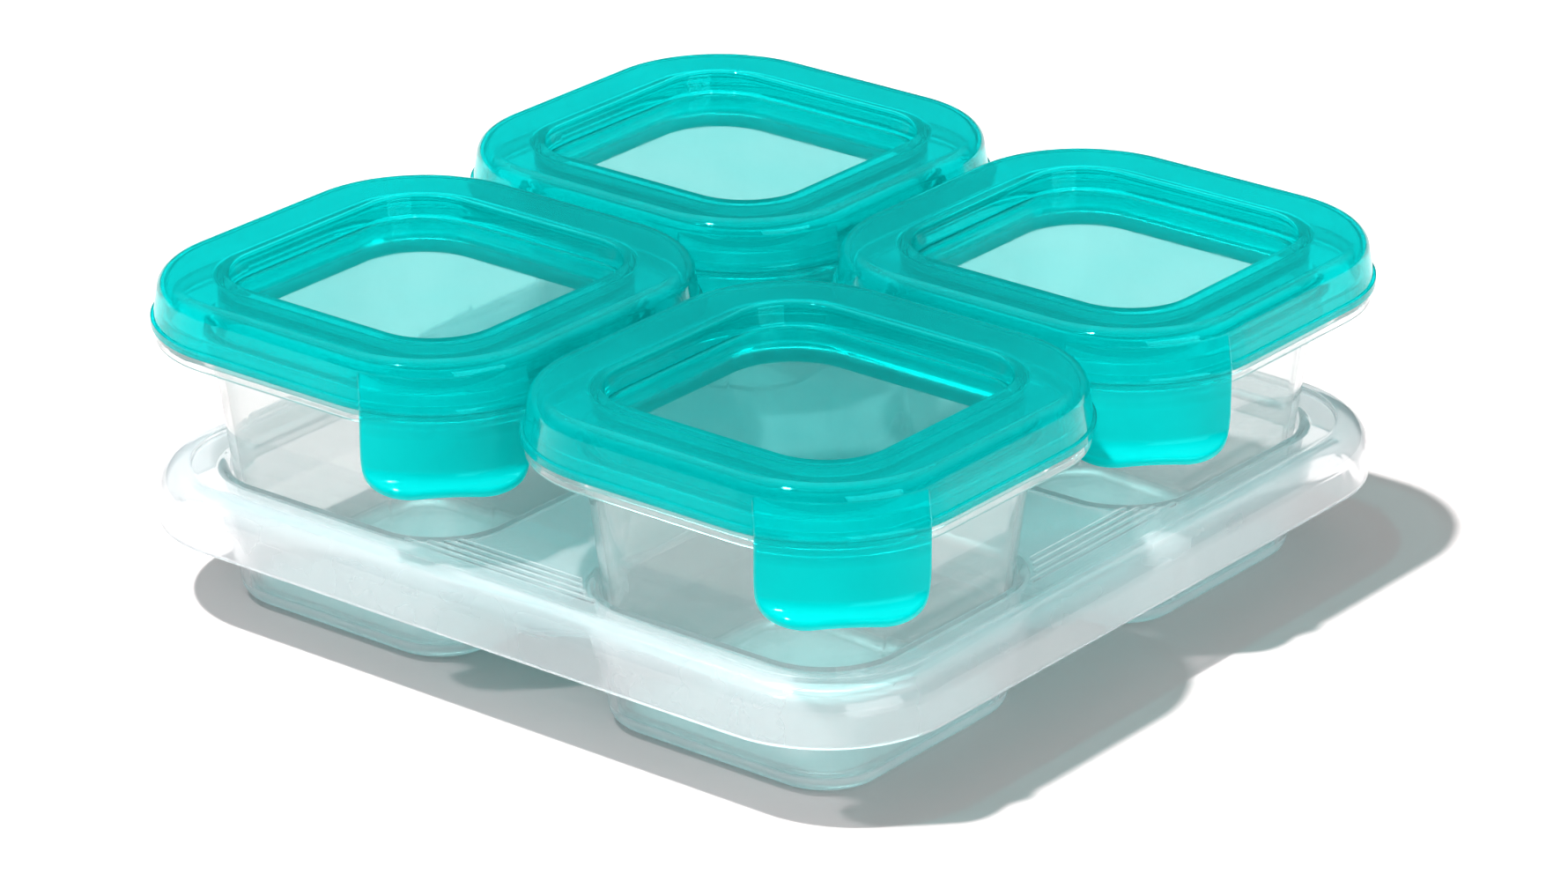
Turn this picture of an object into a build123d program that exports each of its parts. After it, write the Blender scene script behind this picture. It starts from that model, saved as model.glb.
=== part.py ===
"""Baby food storage set: four clear cups with push-on lids, standing in the wells of one tray.

Millimetres, +Z up. The origin is on the ground under the middle of the tray.
"""

from build123d import *
from math import cos, radians, sin, sqrt, tan
import os

# Cup: a clear tapered square beaker with a broad flange round its mouth
cup_base_width = 48.2  # outside, at the foot
cup_corner_radius = 9.1  # outside, at the foot
cup_height = 47.6  # from the foot to the top of the flange
cup_draft = 7.2  # degrees that each wall leans outward
cup_wall = 1.2
cup_foot_radius = 3.2
flange_reach = 8.6  # from the wall's outside to the flange's edge
lip_height = 2.4  # the flange's edge is turned down by this much
lip_thickness = 1.0
rim_height = 2.6  # the ridge on the flange that the lid's skirt grips
rim_thickness = 1.0
mouth_radius = 0.8

# Lid: a skirt, a broad ring, a sunk panel, a plug for the cup's mouth and one pull tab
lid_height = 8.5  # from the cup's flange to the top of the ring
lid_wall = 1.3
panel_wall = 0.9  # the sunk panel is thinner than the rest of the lid
lid_draft = 9.0  # degrees that the skirt leans inward
lid_edge_radius = 2.6
lid_overhang = 0.7  # the skirt stands this far outside the cup's flange
band_height = 1.5  # thicker band along the skirt's lower edge
band_relief = 0.25
recess_depth = 4.0
recess_draft = 4.0
recess_radius = 0.8
plug_depth = 3.0  # how far the plug goes into the cup's mouth
plug_thickness = 1.0
tab_width = 27.2
tab_drop = 13.0  # from the skirt's lower edge to the tab's tip
tab_rise = 6.0  # the tab's root runs this far up the skirt
tab_thickness = 2.0
tab_corner_radius = 8.5
tab_edge_radius = 0.8
curl_angle = 60.0  # degrees that the tab's tip curls outward
curl_radius = 4.0  # on the tab's inner face
curl_flat = 1.5  # straight end of the tab, past the curl

# Tray: a deck with a rolled edge and a hanging skirt, and one well for each cup
tray_wall = 1.4
tray_corner_radius = 23.0
tray_inset = 0.4  # the tray's edge lies this far inside the lids' edges
tray_edge_radius = 4.6
deck_height = 23.4  # the deck's top above the ground
rim_step = 0.8  # the rolled edge stands this far above the deck
rim_land = 0.4  # flat left on top of the rolled edge
skirt_height = 9.8
skirt_draft = 4.0
well_foot_radius = 3.2
well_mouth_radius = 1.5
well_collar = 4.0  # deck that belongs to each well, round its mouth
ridge_count = 4  # fine ridges on the deck, in the middle of each side
ridge_pitch = 1.7
ridge_width = 0.8
ridge_height = 0.35
ridge_margin = 1.2  # from the end of a ridge to the nearest well

# Clearances
well_clearance = 0.4  # between a cup and its well
seal_clearance = 0.3  # between a lid's plug and the cup's mouth
grip_clearance = 0.3  # between a lid's skirt and the ridge on the flange
lip_clearance = 0.3  # between a lid's tab and the flange's lip
stack_clearance = 0.5  # between a lid's recess and the foot of a well stacked on it
lid_gap = 1.2  # between neighbouring lids

# Small edge roundings
soft_edge = 0.3
root_fillet = 1.2


def lean(draft, height):
    """How far a wall with this draft moves sideways over a height."""
    return height * tan(radians(draft))


# Every outline round a cup shares the same four corner centres
centre = cup_base_width / 2 - cup_corner_radius

# Levels above the ground
cup_foot = tray_wall
flange_top = cup_foot + cup_height
flange_under = flange_top - cup_wall
lid_top = flange_top + lid_height
panel_top = lid_top - recess_depth
plug_tip = flange_top - plug_depth
tab_tip = flange_top - tab_drop
deck_under = deck_height - tray_wall
tray_top = deck_height + rim_step
tray_skirt = tray_top - skirt_height

# Wall thickness of a leaning wall, measured level
cup_wall_level = cup_wall / cos(radians(cup_draft))
tray_wall_level = tray_wall / cos(radians(cup_draft))


def cup_out(z):
    """The cup's outside, as a distance from the corner centres, at a height."""
    return cup_corner_radius + lean(cup_draft, z - cup_foot)


def cup_in(z):
    return cup_out(z) - cup_wall_level


def well_in(z):
    return cup_out(z) + well_clearance


def well_out(z):
    return well_in(z) + tray_wall_level


# Distances outward from the corner centres
flange_out = cup_out(flange_top) + flange_reach
skirt_out = flange_out + lid_overhang
wall_out = skirt_out - band_relief
edge_out = wall_out - lean(lid_draft, lid_height)
recess_out = well_out(0) + stack_clearance
plug_out = cup_in(plug_tip) - seal_clearance
rim_out = wall_out - lid_wall - lean(lid_draft, rim_height) - grip_clearance
tab_in = flange_out + lip_clearance

lid_width = 2 * (centre + skirt_out)
cup_pitch = lid_width + lid_gap
tray_width = cup_pitch + lid_width - 2 * tray_inset

stations = {
    "front_left": (-cup_pitch / 2, -cup_pitch / 2),
    "front_right": (cup_pitch / 2, -cup_pitch / 2),
    "back_left": (-cup_pitch / 2, cup_pitch / 2),
    "back_right": (cup_pitch / 2, cup_pitch / 2),
}


def section(corners):
    """A closed wall section from (distance out, height, corner radius) triples."""
    points = [(out, z) for out, z, radius in corners]
    radii = [radius for out, z, radius in corners]
    outline = FilletPolyline(*points, radius=radii, close=True)
    return Plane.XZ * make_face(outline)


def carry_round(wall, reach):
    """Carry a wall section round a square whose rounded corners are centred at +-reach."""
    start = Pos(reach, reach, 0) * wall
    corner = revolve(start, Axis((reach, reach, 0), (0, 0, 1)), 90)
    quarter = corner + extrude(start, 2 * reach)
    return Part() + [Rot(0, 0, 90 * turn) * quarter for turn in range(4)]


def middle_plate(reach, bottom, top):
    """The square of floor that lies between the four corner centres."""
    return Pos(0, 0, bottom) * Box(
        2 * reach, 2 * reach, top - bottom, align=(Align.CENTER, Align.CENTER, Align.MIN)
    )


def make_cup():
    lip_in = flange_out - lip_thickness
    lip_bottom = flange_top - lip_height
    floor_top = cup_foot + cup_wall
    beaker = section(
        [
            (0, cup_foot, 0),
            (cup_out(cup_foot), cup_foot, cup_foot_radius),
            (cup_out(flange_under), flange_under, root_fillet),
            (lip_in, flange_under, soft_edge),
            (lip_in, lip_bottom, soft_edge),
            (flange_out, lip_bottom, soft_edge),
            (flange_out, flange_top, soft_edge),
            (rim_out, flange_top, soft_edge),
            (rim_out, flange_top + rim_height, soft_edge),
            (rim_out - rim_thickness, flange_top + rim_height, soft_edge),
            (rim_out - rim_thickness, flange_top, soft_edge),
            (cup_in(flange_top), flange_top, mouth_radius),
            (cup_in(floor_top), floor_top, cup_foot_radius - cup_wall),
            (0, floor_top, 0),
        ]
    )
    return carry_round(beaker, centre) + middle_plate(centre, cup_foot, floor_top)


def make_tab():
    """The pull tab, bent round the lid's corner that points to +X and -Y, with its tip curled out."""
    tab_top = flange_top + tab_rise
    tab_out = tab_in + tab_thickness
    tab_length = tab_rise + tab_drop
    curl_cos = cos(radians(curl_angle))
    curl_sin = sin(radians(curl_angle))
    half_turn = tan(radians(curl_angle / 2))
    slant = curl_radius * half_turn + curl_flat
    tip_in = tab_in + slant * curl_sin
    bend_in = tab_tip + slant * curl_cos
    bend_out = bend_in + tab_thickness * half_turn
    past_in = tip_in + tab_thickness * curl_sin  # the blade is drawn longer, then cut to its outline
    past_tip = tab_tip - tab_thickness * curl_cos
    blade = section(
        [
            (tab_in - lid_wall, flange_top, 0),
            (tab_in, flange_top, 0),
            (tab_in, bend_in, curl_radius),
            (past_in, past_tip, 0),
            (past_in + tab_thickness * curl_cos, past_tip + tab_thickness * curl_sin, 0),
            (tab_out, bend_out, curl_radius - tab_thickness),
            (tab_out, flange_top + band_height, root_fillet),
            (wall_out - lean(lid_draft, tab_rise), tab_top, 0),
            (wall_out - lid_wall - lean(lid_draft, tab_rise), tab_top, 0),
        ]
    )
    bent = revolve(Pos(centre, -centre, 0) * blade, Axis((centre, -centre, 0), (0, 0, -1)), 90)
    tip_side = centre + tip_in / sqrt(2)
    facing = Plane(
        origin=(tip_side, -tip_side, tab_tip),
        x_dir=(1, 1, 0),
        z_dir=(curl_cos, -curl_cos, sqrt(2) * curl_sin),
    )
    outline = RectangleRounded(tab_width, 2 * tab_length, tab_corner_radius)
    cutter = extrude(facing * Pos(0, tab_length, 0) * outline, 2 * tab_length, both=True)
    tab = bent & cutter
    free_edges = [edge for edge in tab.edges() if on_free_outline(edge)]
    return fillet(free_edges, min(tab_edge_radius, 0.45 * tab_thickness))


def on_free_outline(edge):
    """True for the edges round the tab's free end, on both of its faces."""
    box = edge.bounding_box()
    return box.size.Z > soft_edge / 10 and box.min.Z < flange_top - soft_edge


def make_lid():
    plug_in = plug_out - plug_thickness
    panel_under = panel_top - panel_wall
    ring_under = lid_top - lid_wall
    band_top = flange_top + band_height
    inner_edge_radius = lid_edge_radius - lid_wall
    cover = section(
        [
            (skirt_out, flange_top, soft_edge),
            (skirt_out, band_top, band_relief / 2),
            (wall_out - lean(lid_draft, band_height), band_top, 0),
            (edge_out, lid_top, lid_edge_radius),
            (recess_out, lid_top, recess_radius),
            (recess_out - lean(recess_draft, recess_depth), panel_top, recess_radius),
            (0, panel_top, 0),
            (0, panel_under, 0),
            (plug_in, panel_under, soft_edge),
            (plug_in, plug_tip, soft_edge),
            (plug_out, plug_tip, soft_edge),
            (plug_out, ring_under, recess_radius),
            (edge_out - lid_wall, ring_under, inner_edge_radius),
            (wall_out - lid_wall, flange_top, 0),
        ]
    )
    whole = carry_round(cover, centre) + middle_plate(centre, panel_under, panel_top)
    return whole + make_tab()


def make_well():
    walls = section(
        [
            (0, 0, 0),
            (well_out(0), 0, well_foot_radius),
            (well_out(deck_under), deck_under, root_fillet),
            (well_in(deck_height) + well_collar, deck_under, 0),
            (well_in(deck_height) + well_collar, deck_height, 0),
            (well_in(deck_height), deck_height, well_mouth_radius),
            (well_in(tray_wall), tray_wall, well_foot_radius - tray_wall),
            (0, tray_wall, 0),
        ]
    )
    return carry_round(walls, centre) + middle_plate(centre, 0, tray_wall)


def make_ridges():
    """Fine ridges in the middle of the tray's front side, ended clear of the two wells."""
    corner_x = cup_pitch / 2 - centre
    corner_y = cup_pitch / 2 + centre
    keep_off = well_in(deck_height) + well_mouth_radius + ridge_margin
    outer_y = corner_y + keep_off
    ridges = Part()
    for row in range(ridge_count):
        y = outer_y - (row + 0.5) * ridge_pitch
        half_length = corner_x - sqrt(keep_off**2 - (y - corner_y) ** 2)
        bar = SlotOverall(2 * half_length, ridge_width)
        ridges += Pos(0, -y, deck_height) * extrude(bar, ridge_height)
    return ridges


def make_tray():
    reach = tray_width / 2 - tray_corner_radius
    edge = tray_corner_radius - lean(skirt_draft, skirt_height)
    step = edge - tray_edge_radius - rim_land
    deck_overlap = step - tray_wall
    inner_edge_radius = tray_edge_radius - tray_wall
    rolled_edge = section(
        [
            (tray_corner_radius, tray_skirt, soft_edge),
            (edge, tray_top, tray_edge_radius),
            (step, tray_top, soft_edge),
            (step, deck_height, soft_edge),
            (deck_overlap, deck_height, 0),
            (deck_overlap, deck_under, 0),
            (edge - tray_wall, deck_under, inner_edge_radius),
            (tray_corner_radius - tray_wall, tray_skirt, soft_edge),
        ]
    )
    deck_width = 2 * (reach + step)
    deck_outline = RectangleRounded(deck_width, deck_width, step)
    mouth = well_in(deck_height) + well_collar
    mouth_width = 2 * (centre + mouth)
    mouth_outline = RectangleRounded(mouth_width, mouth_width, mouth)
    for x, y in stations.values():
        deck_outline -= Pos(x, y, 0) * mouth_outline
    deck = Pos(0, 0, deck_under) * extrude(deck_outline, tray_wall)
    well = make_well()
    ridges = make_ridges()
    tray = carry_round(rolled_edge, reach) + deck
    tray += [Pos(x, y, 0) * well for x, y in stations.values()]
    return tray + [Rot(0, 0, 90 * turn) * ridges for turn in range(4)]


def write(name, shape):
    """Write one node's solid to its own file."""
    shape.label = name
    export_step(shape, os.path.join("parts", f"{name}.step"))


os.makedirs("parts", exist_ok=True)
write("tray", make_tray())
cup = make_cup()
lid = make_lid()
for station, (x, y) in stations.items():
    write(f"cup_{station}", Pos(x, y, 0) * cup)
    write(f"lid_{station}", Pos(x, y, 0) * lid)
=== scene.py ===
import bpy
import math
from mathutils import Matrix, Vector

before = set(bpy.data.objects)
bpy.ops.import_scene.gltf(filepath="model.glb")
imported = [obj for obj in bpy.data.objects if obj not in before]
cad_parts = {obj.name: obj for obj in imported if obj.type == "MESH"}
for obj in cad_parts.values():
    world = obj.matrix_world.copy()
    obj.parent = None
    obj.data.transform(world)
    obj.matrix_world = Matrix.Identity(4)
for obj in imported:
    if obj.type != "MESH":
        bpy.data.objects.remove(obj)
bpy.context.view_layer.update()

# The camera: fitted to the photo, whose image is 1780 x 1000
IMAGE_WIDTH = 1780
FOCAL_PIXELS = 6915.6
AZIMUTH = math.radians(38.512)
ELEVATION = math.radians(24.016)
DISTANCE = 1.031239
AIM_RIGHT = 17.7  # pixels from the tray's foot to the middle of the image
AIM_UP = 143.1
SENSOR_WIDTH = 36.0
CLIP_START = 0.01
CLIP_END = 50.0

# The sun: high, from the camera's left
SUN_TRAVEL = math.radians(68.0)  # where the shadow points on the ground, from +X
SUN_HEIGHT = math.radians(69.0)
SUN_STRENGTH = 6.0
SUN_SIZE = math.radians(3.0)

# The soft sky: dim up to one height and white from another, where straight up is 1
SKY_STRENGTH = 0.62
SKY_DIM = (0.45, (0.06, 0.06, 0.07))
SKY_WHITE = (0.80, (1.0, 1.0, 1.0))

# A broad fill light at the camera's right, and where it is from the part
FILL_POWER = 36.0
FILL_SIZE = 1.6
FILL_BACK = 1.6  # towards the camera
FILL_RIGHT = 1.2
FILL_UP = 0.35

# A soft light overhead, for the tray and cups alone
TOP_POWER = 25.0
TOP_COLOUR = (0.48, 0.90, 0.89)
TOP_SIZE = 1.2
TOP_HEIGHT = 1.5

# How often light may bounce or pass a clear wall
BOUNCES = 24
TRANSPARENT_BOUNCES = 32

FLOOR_SIZE = 8.0
FLOOR_DROP = 0.0002  # how far the floor lies below the tray's feet
FLOOR_COLOUR = (0.68, 0.627, 0.622)

# Where the lids' sunk panels are
CUP_PITCH = 0.08003
PANEL_REACH = 0.0245  # half the width of a panel
PANEL_TOP = 0.0537
PANEL_BOTTOM = 0.0519

# Heights between which the milky tabs pass into the clearer skirt
TAB_CLEAR = 0.0490
TAB_MILKY = 0.0455

# The inner edge of the tray's rim: a square with rounded corners
RIM_SQUARE = 0.0560  # half the square between the middles of the corners' arcs
RIM_RADIUS = 0.0173
SKIRT_BOTTOM = 0.0144
WELL_FLOOR = 0.0030

# What the plastics share: noises as a scale and a detail, and what is made from them
PLASTIC_IOR = 1.49
CLOUD_NOISE = (60.0, 3.0)
GLOSS_NOISE = (240.0, 4.0)
PEEL_NOISE = (70.0, 2.0)
PEEL_STRENGTH = 0.02
PEEL_DEPTH = 0.00004
NOISE_RANGE = (0.3, 0.7)  # where most of a noise lies
CLOUD_STOPS = (0.35, 0.65)
GLOW_SHARE = 0.5  # how much of a milky plastic's light passes through it
EDGE_SHARPNESS = 2.5  # how sharply the painted outline shade darkens clear plastic towards its outline


def make_material(name):
    """A new material with an empty node tree: the material, its tree and its output."""
    material = bpy.data.materials.new(name)
    material.use_nodes = True
    tree = material.node_tree
    tree.nodes.clear()
    output = tree.nodes.new("ShaderNodeOutputMaterial")
    return material, tree, output


def feed(tree, socket, value):
    """Link another node's output to a socket, or set the socket to a plain value."""
    if isinstance(value, bpy.types.NodeSocket):
        tree.links.new(value, socket)
    else:
        socket.default_value = value


def math_node(tree, operation, *values):
    """One Math node; each value is an output or a number."""
    node = tree.nodes.new("ShaderNodeMath")
    node.operation = operation
    for socket, value in zip(node.inputs, values):
        feed(tree, socket, value)
    return node.outputs["Value"]


def noise(tree, scale, detail):
    """Noise fixed to the piece, in object coordinates."""
    place = tree.nodes.new("ShaderNodeTexCoord")
    texture = tree.nodes.new("ShaderNodeTexNoise")
    texture.inputs["Scale"].default_value = scale
    texture.inputs["Detail"].default_value = detail
    tree.links.new(place.outputs["Object"], texture.inputs["Vector"])
    return texture.outputs["Fac"]


def map_range(tree, value, source, target):
    """Map a value from one range onto another."""
    node = tree.nodes.new("ShaderNodeMapRange")
    for socket, number in zip(("From Min", "From Max", "To Min", "To Max"), (*source, *target)):
        node.inputs[socket].default_value = number
    tree.links.new(value, node.inputs["Value"])
    return node.outputs["Result"]


def colour_ramp(tree, value, *stops):
    """Colours that follow a value between two stops, each a position and a colour."""
    node = tree.nodes.new("ShaderNodeValToRGB")
    for element, (position, colour) in zip(node.color_ramp.elements, stops):
        element.position = position
        element.color = (*colour, 1)
    tree.links.new(value, node.inputs["Fac"])
    return node.outputs["Color"]


def mix_colours(tree, factor, first, second):
    """The first colour, passing into the second as the factor rises."""
    node = tree.nodes.new("ShaderNodeMix")
    node.data_type = "RGBA"
    feed(tree, node.inputs["Factor"], factor)
    feed(tree, node.inputs["A"], first)
    feed(tree, node.inputs["B"], second)
    return node.outputs["Result"]


def mix_shaders(tree, factor, first, second):
    """The first shader, passing into the second as the factor rises."""
    node = tree.nodes.new("ShaderNodeMixShader")
    feed(tree, node.inputs["Fac"], factor)
    tree.links.new(first, node.inputs[1])
    tree.links.new(second, node.inputs[2])
    return node.outputs["Shader"]


def let_through(tree, surface, ray, tint):
    """The surface, but rays of one kind pass straight through it with a tint."""
    path = tree.nodes.new("ShaderNodeLightPath")
    passing = tree.nodes.new("ShaderNodeBsdfTransparent")
    passing.inputs["Color"].default_value = (*tint, 1)
    return mix_shaders(tree, path.outputs[ray], surface, passing.outputs["BSDF"])


def place_axes(tree):
    """The X, Y and Z of each point in the piece's own coordinates."""
    place = tree.nodes.new("ShaderNodeTexCoord")
    axes = tree.nodes.new("ShaderNodeSeparateXYZ")
    tree.links.new(place.outputs["Object"], axes.inputs["Vector"])
    return axes.outputs


def on_panels(tree):
    """1 on the lids' thin sunk panels, 0 elsewhere."""
    axes = place_axes(tree)
    below = math_node(tree, "LESS_THAN", axes["Z"], PANEL_TOP)
    above = math_node(tree, "GREATER_THAN", axes["Z"], PANEL_BOTTOM)
    inside = math_node(tree, "MULTIPLY", below, above)
    for axis in ("X", "Y"):
        across = math_node(tree, "ABSOLUTE", axes[axis])
        across = math_node(tree, "ABSOLUTE", math_node(tree, "SUBTRACT", across, CUP_PITCH / 2))
        inside = math_node(tree, "MULTIPLY", inside, math_node(tree, "LESS_THAN", across, PANEL_REACH))
    return inside


def on_tabs(tree):
    """1 on the lids' pull tabs, fading to 0 up the skirt."""
    return map_range(tree, place_axes(tree)["Z"], (TAB_CLEAR, TAB_MILKY), (0.0, 1.0))


def on_well_walls(tree):
    """1 on the walls of the tray's wells, below its skirt."""
    height = place_axes(tree)["Z"]
    below = math_node(tree, "LESS_THAN", height, SKIRT_BOTTOM)
    above = math_node(tree, "GREATER_THAN", height, WELL_FLOOR)
    return math_node(tree, "MULTIPLY", below, above)


def on_floors(tree):
    """1 on the floors of the wells and cups."""
    return math_node(tree, "LESS_THAN", place_axes(tree)["Z"], WELL_FLOOR)


def on_rim(tree):
    """1 on the tray's rolled edge and skirt, 0 on its deck and wells."""
    axes = place_axes(tree)
    squares = []
    for axis in ("X", "Y"):
        past = math_node(tree, "SUBTRACT", math_node(tree, "ABSOLUTE", axes[axis]), RIM_SQUARE)
        past = math_node(tree, "MAXIMUM", past, 0.0)
        squares.append(math_node(tree, "MULTIPLY", past, past))
    out = math_node(tree, "SQRT", math_node(tree, "ADD", *squares))
    return math_node(tree, "GREATER_THAN", out, RIM_RADIUS)


def share_of(tree, plain, places):
    """The milky share: a plain value, with another on each place that is given."""
    share = plain
    for where, value in places:
        extra = math_node(tree, "MULTIPLY", where(tree), value - plain)
        share = math_node(tree, "ADD", extra, share)
    return share


def plastic(
    name,
    glass_colours,
    body_colours,
    body_share,
    places,
    gloss,
    lamp,
    sky,
    sheen=(1.0, 1.0, 1.0),
    panel_colours=None,
    painted_outline_shade=None,
    absorb=None,
):
    """A moulded plastic that is partly clear and partly milky.

    Its clear share bends light and tints it; its milky share takes and passes light of its own
    colour. Both have a cloudy colour, an uneven gloss and a faint orange peel. Lamps and the sky
    light what is behind it, each with a tint.
    """
    material, tree, output = make_material(name)
    clouds = noise(tree, *CLOUD_NOISE)
    rough = map_range(tree, noise(tree, *GLOSS_NOISE), NOISE_RANGE, gloss)
    peel = tree.nodes.new("ShaderNodeBump")
    peel.inputs["Strength"].default_value = PEEL_STRENGTH
    peel.inputs["Distance"].default_value = PEEL_DEPTH
    tree.links.new(noise(tree, *PEEL_NOISE), peel.inputs["Height"])

    glass_colour = colour_ramp(tree, clouds, *zip(CLOUD_STOPS, glass_colours))
    if panel_colours:
        panel_colour = colour_ramp(tree, clouds, *zip(CLOUD_STOPS, panel_colours))
        glass_colour = mix_colours(tree, on_panels(tree), glass_colour, panel_colour)
    # Painted shade: clear plastic is made darker towards its outline, for the dark lines along a clear
    # wall's edges
    if painted_outline_shade:
        glancing = tree.nodes.new("ShaderNodeLayerWeight")
        outline_shade_amount = math_node(tree, "POWER", glancing.outputs["Facing"], EDGE_SHARPNESS)
        glass_colour = mix_colours(tree, outline_shade_amount, glass_colour, (*painted_outline_shade, 1))
    body_colour = colour_ramp(tree, clouds, *zip(CLOUD_STOPS, body_colours))

    glass = tree.nodes.new("ShaderNodeBsdfPrincipled")
    glass.inputs["Transmission Weight"].default_value = 1.0
    body = tree.nodes.new("ShaderNodeBsdfPrincipled")
    for shader, colour in ((glass, glass_colour), (body, body_colour)):
        shader.inputs["IOR"].default_value = PLASTIC_IOR
        shader.inputs["Specular Tint"].default_value = (*sheen, 1)
        tree.links.new(colour, shader.inputs["Base Color"])
        tree.links.new(rough, shader.inputs["Roughness"])
        tree.links.new(peel.outputs["Normal"], shader.inputs["Normal"])
    glow = tree.nodes.new("ShaderNodeBsdfTranslucent")
    tree.links.new(body_colour, glow.inputs["Color"])

    milky = mix_shaders(tree, GLOW_SHARE, body.outputs["BSDF"], glow.outputs["BSDF"])
    clear = let_through(tree, glass.outputs["BSDF"], "Is Diffuse Ray", sky)
    both = mix_shaders(tree, share_of(tree, body_share, places), clear, milky)
    surface = let_through(tree, both, "Is Shadow Ray", lamp)
    tree.links.new(surface, output.inputs["Surface"])
    if absorb:
        colour, density = absorb
        volume = tree.nodes.new("ShaderNodeVolumeAbsorption")
        volume.inputs["Color"].default_value = (*colour, 1)
        volume.inputs["Density"].default_value = density
        tree.links.new(volume.outputs["Volume"], output.inputs["Volume"])
    return material


def turn_to(thing, direction):
    """Turn a lamp or the camera to look along a direction."""
    thing.rotation_mode = "QUATERNION"
    thing.rotation_quaternion = direction.to_track_quat("-Z", "Y")


def add_lamp(name, kind, energy):
    """A new lamp in the scene."""
    lamp = bpy.data.objects.new(name, bpy.data.lights.new(name, kind))
    lamp.data.energy = energy
    bpy.context.scene.collection.objects.link(lamp)
    return lamp


looks = {
    "lid": plastic(
        "teal_lid_plastic",
        glass_colours=((0.0, 0.91, 0.905), (0.004, 0.93, 0.925)),
        body_colours=((0.0, 0.68, 0.67), (0.0, 0.74, 0.725)),
        body_share=0.24,
        places=((on_panels, 0.07), (on_tabs, 0.72)),
        gloss=(0.02, 0.05),
        lamp=(0.10, 0.24, 0.24),
        sky=(0.10, 0.88, 0.87),
        sheen=(0.05, 0.80, 0.80),
        panel_colours=((0.52, 0.99, 0.98), (0.58, 0.995, 0.985)),
        absorb=((0.0, 0.95, 0.945), 400.0),
    ),
    "cup": plastic(
        "clear_cup_plastic",
        glass_colours=((0.99, 0.992, 0.988), (0.995, 0.996, 0.994)),
        body_colours=((0.90, 0.92, 0.92), (0.94, 0.95, 0.95)),
        body_share=0.13,
        places=((on_floors, 0.25),),
        gloss=(0.01, 0.03),
        lamp=(0.90, 0.905, 0.90),
        sky=(0.95, 0.955, 0.95),
        # painted shade that darkens the clear cups towards their outlines
        painted_outline_shade=(0.18, 0.25, 0.25),
    ),
    "tray": plastic(
        "frosted_tray_plastic",
        glass_colours=((0.95, 0.965, 0.97), (0.97, 0.98, 0.98)),
        body_colours=((0.88, 0.89, 0.91), (0.92, 0.93, 0.945)),
        body_share=0.22,
        places=((on_rim, 0.27), (on_well_walls, 0.13), (on_floors, 0.36)),
        gloss=(0.03, 0.07),
        lamp=(0.38, 0.38, 0.385),
        sky=(0.80, 0.805, 0.81),
    ),
}
for name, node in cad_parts.items():
    node.data.materials.clear()
    node.data.materials.append(looks[name.split("_")[0]])

# The floor
half = FLOOR_SIZE / 2
floor_corners = [(-half, -half, 0), (half, -half, 0), (half, half, 0), (-half, half, 0)]
floor_mesh = bpy.data.meshes.new("floor")
floor_mesh.from_pydata(floor_corners, [], [(0, 1, 2, 3)])
floor = bpy.data.objects.new("floor", floor_mesh)
bpy.context.scene.collection.objects.link(floor)
floor.location.z = -FLOOR_DROP
paper, paper_tree, paper_output = make_material("floor_paper")
paper_shader = paper_tree.nodes.new("ShaderNodeBsdfDiffuse")
paper_shader.inputs["Color"].default_value = (*FLOOR_COLOUR, 1)
paper_tree.links.new(paper_shader.outputs["BSDF"], paper_output.inputs["Surface"])
floor_mesh.materials.append(paper)

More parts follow.
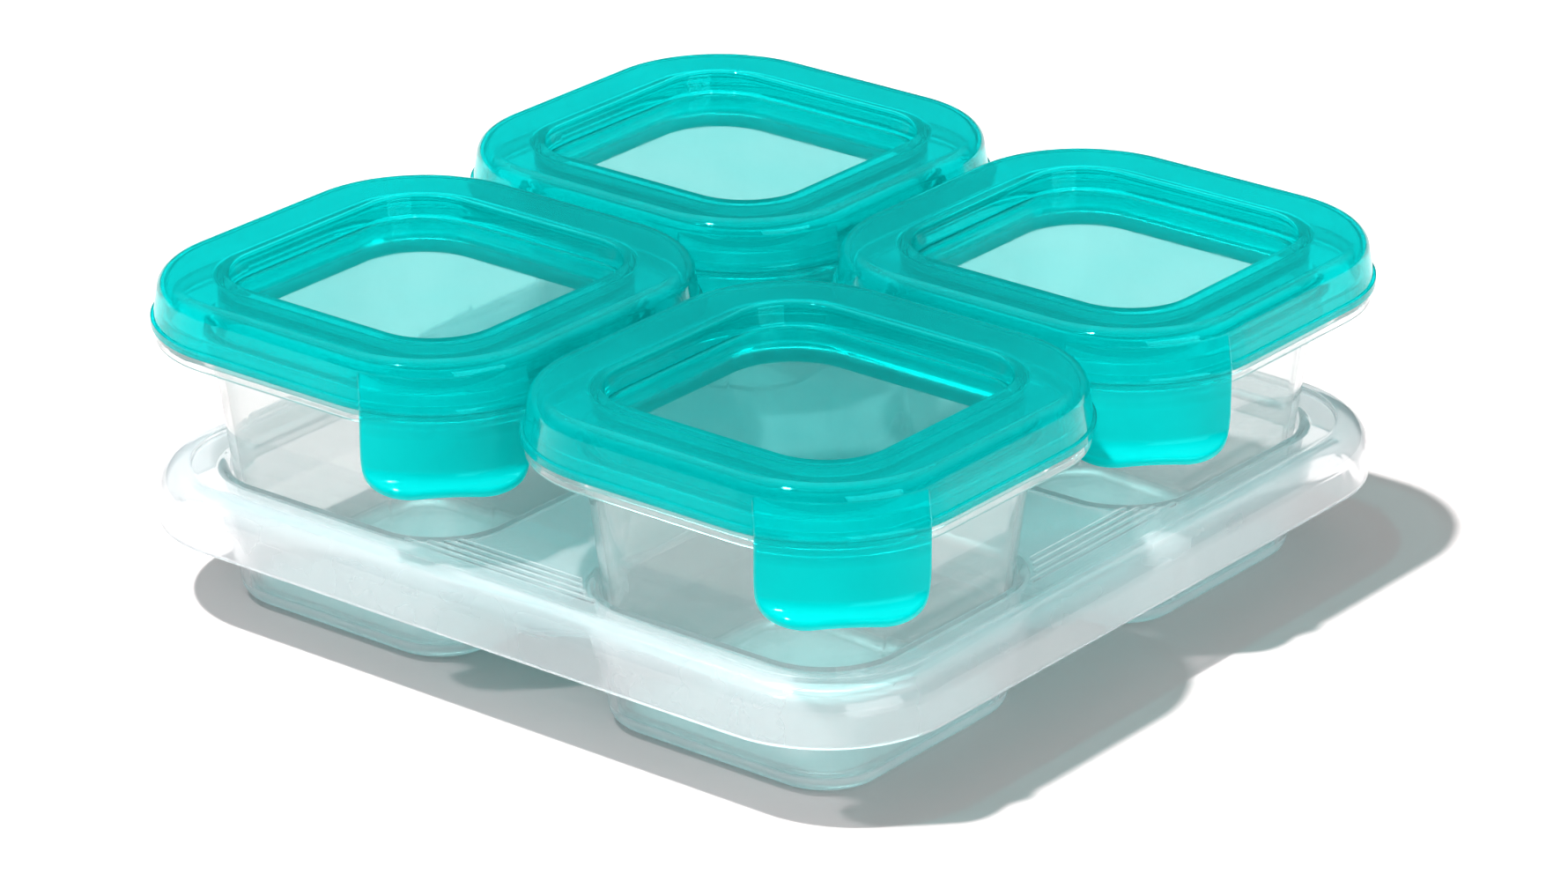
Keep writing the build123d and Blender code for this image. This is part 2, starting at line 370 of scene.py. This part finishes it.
# The camera
back = Vector(
    (
        math.sin(AZIMUTH) * math.cos(ELEVATION),
        -math.cos(AZIMUTH) * math.cos(ELEVATION),
        math.sin(ELEVATION),
    )
)
right = Vector((math.cos(AZIMUTH), math.sin(AZIMUTH), 0))
up = back.cross(right)
camera = bpy.data.objects.new("camera", bpy.data.cameras.new("camera"))
camera.data.sensor_width = SENSOR_WIDTH
camera.data.lens = FOCAL_PIXELS / IMAGE_WIDTH * SENSOR_WIDTH
camera.data.clip_start = CLIP_START
camera.data.clip_end = CLIP_END
camera.location = back * DISTANCE
turn_to(camera, right * AIM_RIGHT + up * AIM_UP - back * FOCAL_PIXELS)
bpy.context.scene.collection.objects.link(camera)
bpy.context.scene.camera = camera

# The sun
sun = add_lamp("sun", "SUN", SUN_STRENGTH)
sun.data.angle = SUN_SIZE
sun_travel = Vector(
    (
        math.cos(SUN_TRAVEL) * math.cos(SUN_HEIGHT),
        math.sin(SUN_TRAVEL) * math.cos(SUN_HEIGHT),
        -math.sin(SUN_HEIGHT),
    )
)
turn_to(sun, sun_travel)

# The sky
world = bpy.data.worlds.new("studio")
bpy.context.scene.world = world
world.use_nodes = True
world_tree = world.node_tree
backdrop = world_tree.nodes["Background"]
backdrop.inputs["Strength"].default_value = SKY_STRENGTH
direction = world_tree.nodes.new("ShaderNodeTexCoord")
direction_axes = world_tree.nodes.new("ShaderNodeSeparateXYZ")
world_tree.links.new(direction.outputs["Generated"], direction_axes.inputs["Vector"])
dome = colour_ramp(world_tree, direction_axes.outputs["Z"], SKY_DIM, SKY_WHITE)
world_tree.links.new(dome, backdrop.inputs["Color"])

# The fill light, turned to the part
fill = add_lamp("fill", "AREA", FILL_POWER)
fill.data.size = FILL_SIZE
towards_camera = right.cross((0, 0, 1))
fill.location = towards_camera * FILL_BACK + right * FILL_RIGHT + Vector((0, 0, FILL_UP))
turn_to(fill, -fill.location)

# The light overhead stands for the teal light that the lids scatter down on the tray and cups
tray_and_cups = bpy.data.collections.new("tray_and_cups")
for name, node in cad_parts.items():
    if not name.startswith("lid"):
        tray_and_cups.objects.link(node)
top = add_lamp("top", "AREA", TOP_POWER)
top.data.color = TOP_COLOUR
top.data.size = TOP_SIZE
top.location.z = TOP_HEIGHT
top.light_linking.receiver_collection = tray_and_cups
top.light_linking.blocker_collection = tray_and_cups

# True colours, and light that can cross many walls of clear plastic
bpy.context.scene.view_settings.view_transform = "Standard"
bpy.context.scene.view_settings.look = "None"
bpy.context.scene.cycles.max_bounces = BOUNCES
bpy.context.scene.cycles.transmission_bounces = BOUNCES
bpy.context.scene.cycles.transparent_max_bounces = TRANSPARENT_BOUNCES
